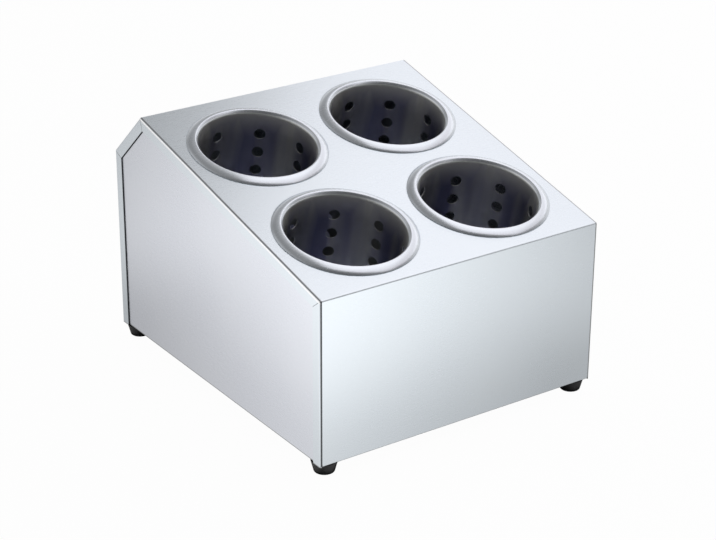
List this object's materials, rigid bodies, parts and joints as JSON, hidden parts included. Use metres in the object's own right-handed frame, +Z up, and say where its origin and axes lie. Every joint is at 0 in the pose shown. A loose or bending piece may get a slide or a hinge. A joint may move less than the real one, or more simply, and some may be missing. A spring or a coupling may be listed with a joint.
{
  "type": "cutlery box",
  "caption": "Counter-top steel cutlery box with a sloping top, perforated lift-out cups hanging by domed rims, and rubber feet.",
  "frame": {"origin": "on the standing surface, under the middle of the box", "axes": "+Z up, +Y from the low front face to the high rear, +X to the right seen from the front"},
  "size_m": [0.27, 0.315, 0.2152],
  "materials": {
    "housing_steel": "satin stainless sheet",
    "cup_steel": "polished stainless sheet",
    "foot_rubber": "matte black rubber",
    "zinc_steel": "bright zinc plated steel"
  },
  "bodies": {
    "housing": {"front_top_shell": "housing_steel", "rear_shell": "housing_steel", "left_side_plate": "housing_steel", "right_side_plate": "housing_steel", "front_left_foot": "foot_rubber", "front_right_foot": "foot_rubber", "rear_left_foot": "foot_rubber", "rear_right_foot": "foot_rubber", "foot_inserts": "zinc_steel", "foot_screws": "zinc_steel", "foot_washers": "zinc_steel", "foot_nuts": "zinc_steel"},
    "cup_front_left": {"front_left_cup": "cup_steel", "front_left_cup_base": "cup_steel"},
    "cup_front_right": {"front_right_cup": "cup_steel", "front_right_cup_base": "cup_steel"},
    "cup_rear_left": {"rear_left_cup": "cup_steel", "rear_left_cup_base": "cup_steel"},
    "cup_rear_right": {"rear_right_cup": "cup_steel", "rear_right_cup_base": "cup_steel"}
  },
  "joints": [
    {"name": "front_left_lift", "type": "slide", "parent": "housing", "child": "cup_front_left", "axis": [0, -0.228, 0.9737], "range_m": [0, 0.15]},
    {"name": "front_right_lift", "type": "slide", "parent": "housing", "child": "cup_front_right", "axis": [0, -0.228, 0.9737], "range_m": [0, 0.15]},
    {"name": "rear_left_lift", "type": "slide", "parent": "housing", "child": "cup_rear_left", "axis": [0, -0.228, 0.9737], "range_m": [0, 0.15]},
    {"name": "rear_right_lift", "type": "slide", "parent": "housing", "child": "cup_rear_right", "axis": [0, -0.228, 0.9737], "range_m": [0, 0.15]}
  ]
}
